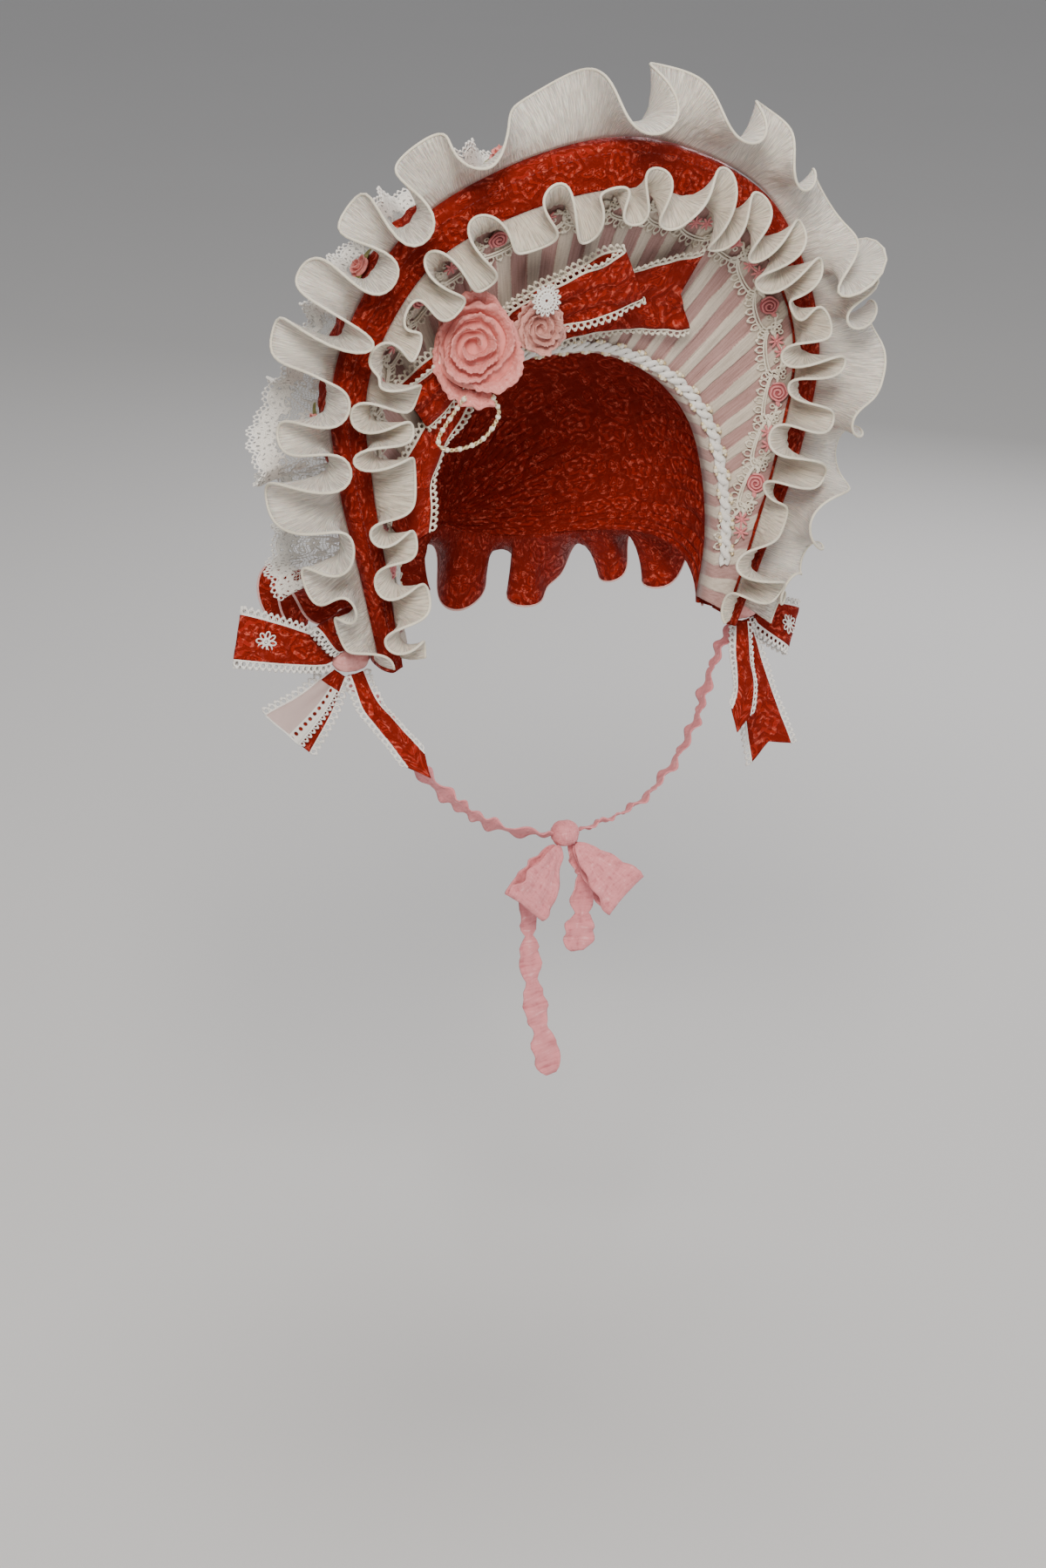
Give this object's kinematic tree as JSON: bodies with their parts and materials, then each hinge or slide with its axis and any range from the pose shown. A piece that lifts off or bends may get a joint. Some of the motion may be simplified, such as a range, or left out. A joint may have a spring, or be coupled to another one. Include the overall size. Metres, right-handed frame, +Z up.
{
  "type": "ruffled bonnet",
  "caption": "Brocade bonnet with a wide raised brim, pleated lining, ruffled edges, lace, a bow with roses, side bows and chin ties.",
  "frame": {"origin": "where the inside of the crown rests on top of the head", "axes": "+Z up, the face looks along -Y, +X towards the wearer's left"},
  "size_m": [0.3624, 0.2523, 0.5508],
  "materials": {
    "brocade": "shiny red jacquard with a rose pattern",
    "chiffon": "ivory crinkled chiffon",
    "pleated_lining": "pleats striped in cream and dusty pink",
    "lace": "off-white cotton lace and braid",
    "rose_ribbon": "salmon pink ribbon",
    "pink_satin": "pink satin",
    "petal_ribbon": "dusty pink ribbon with wavy edges",
    "beads": "pearly white and gold beads"
  },
  "bodies": {
    "root": {"back_lace": "lace", "bavolet": "brocade", "bead_loop": "beads", "big_rose": "rose_ribbon", "bow_knot": "brocade", "bow_loop_left": "brocade", "bow_loop_right": "brocade", "bow_tail_left": "brocade", "bow_tail_right": "brocade", "brim_lining": "pleated_lining", "brim_shell": "brocade", "chin_knot": "petal_ribbon", "chin_loop_left": "petal_ribbon", "chin_loop_right": "petal_ribbon", "chin_tail_long": "petal_ribbon", "chin_tail_short": "petal_ribbon", "crochet_leaf": "lace", "crown_cap": "brocade", "head_trim": "lace", "inner_ruffle": "chiffon", "outer_ruffle": "chiffon", "ribbon_rose_1": "rose_ribbon", "ribbon_rose_2": "rose_ribbon", "ribbon_rose_3": "rose_ribbon", "ribbon_rose_4": "rose_ribbon", "ribbon_rose_5": "rose_ribbon", "ribbon_rose_6": "rose_ribbon", "rose_trim": "lace", "side_bow_left_knot": "pink_satin", "side_bow_left_loop_back": "brocade", "side_bow_left_loop_front": "brocade", "side_bow_left_tail_back": "brocade", "side_bow_left_tail_front": "brocade", "side_bow_right_knot": "pink_satin", "side_bow_right_loop_back": "brocade", "side_bow_right_loop_front": "brocade", "side_bow_right_tail_back": "brocade", "side_bow_right_tail_front": "brocade", "small_rose": "rose_ribbon", "tie_left": "petal_ribbon", "tie_right": "petal_ribbon"}
  },
  "joints": []
}
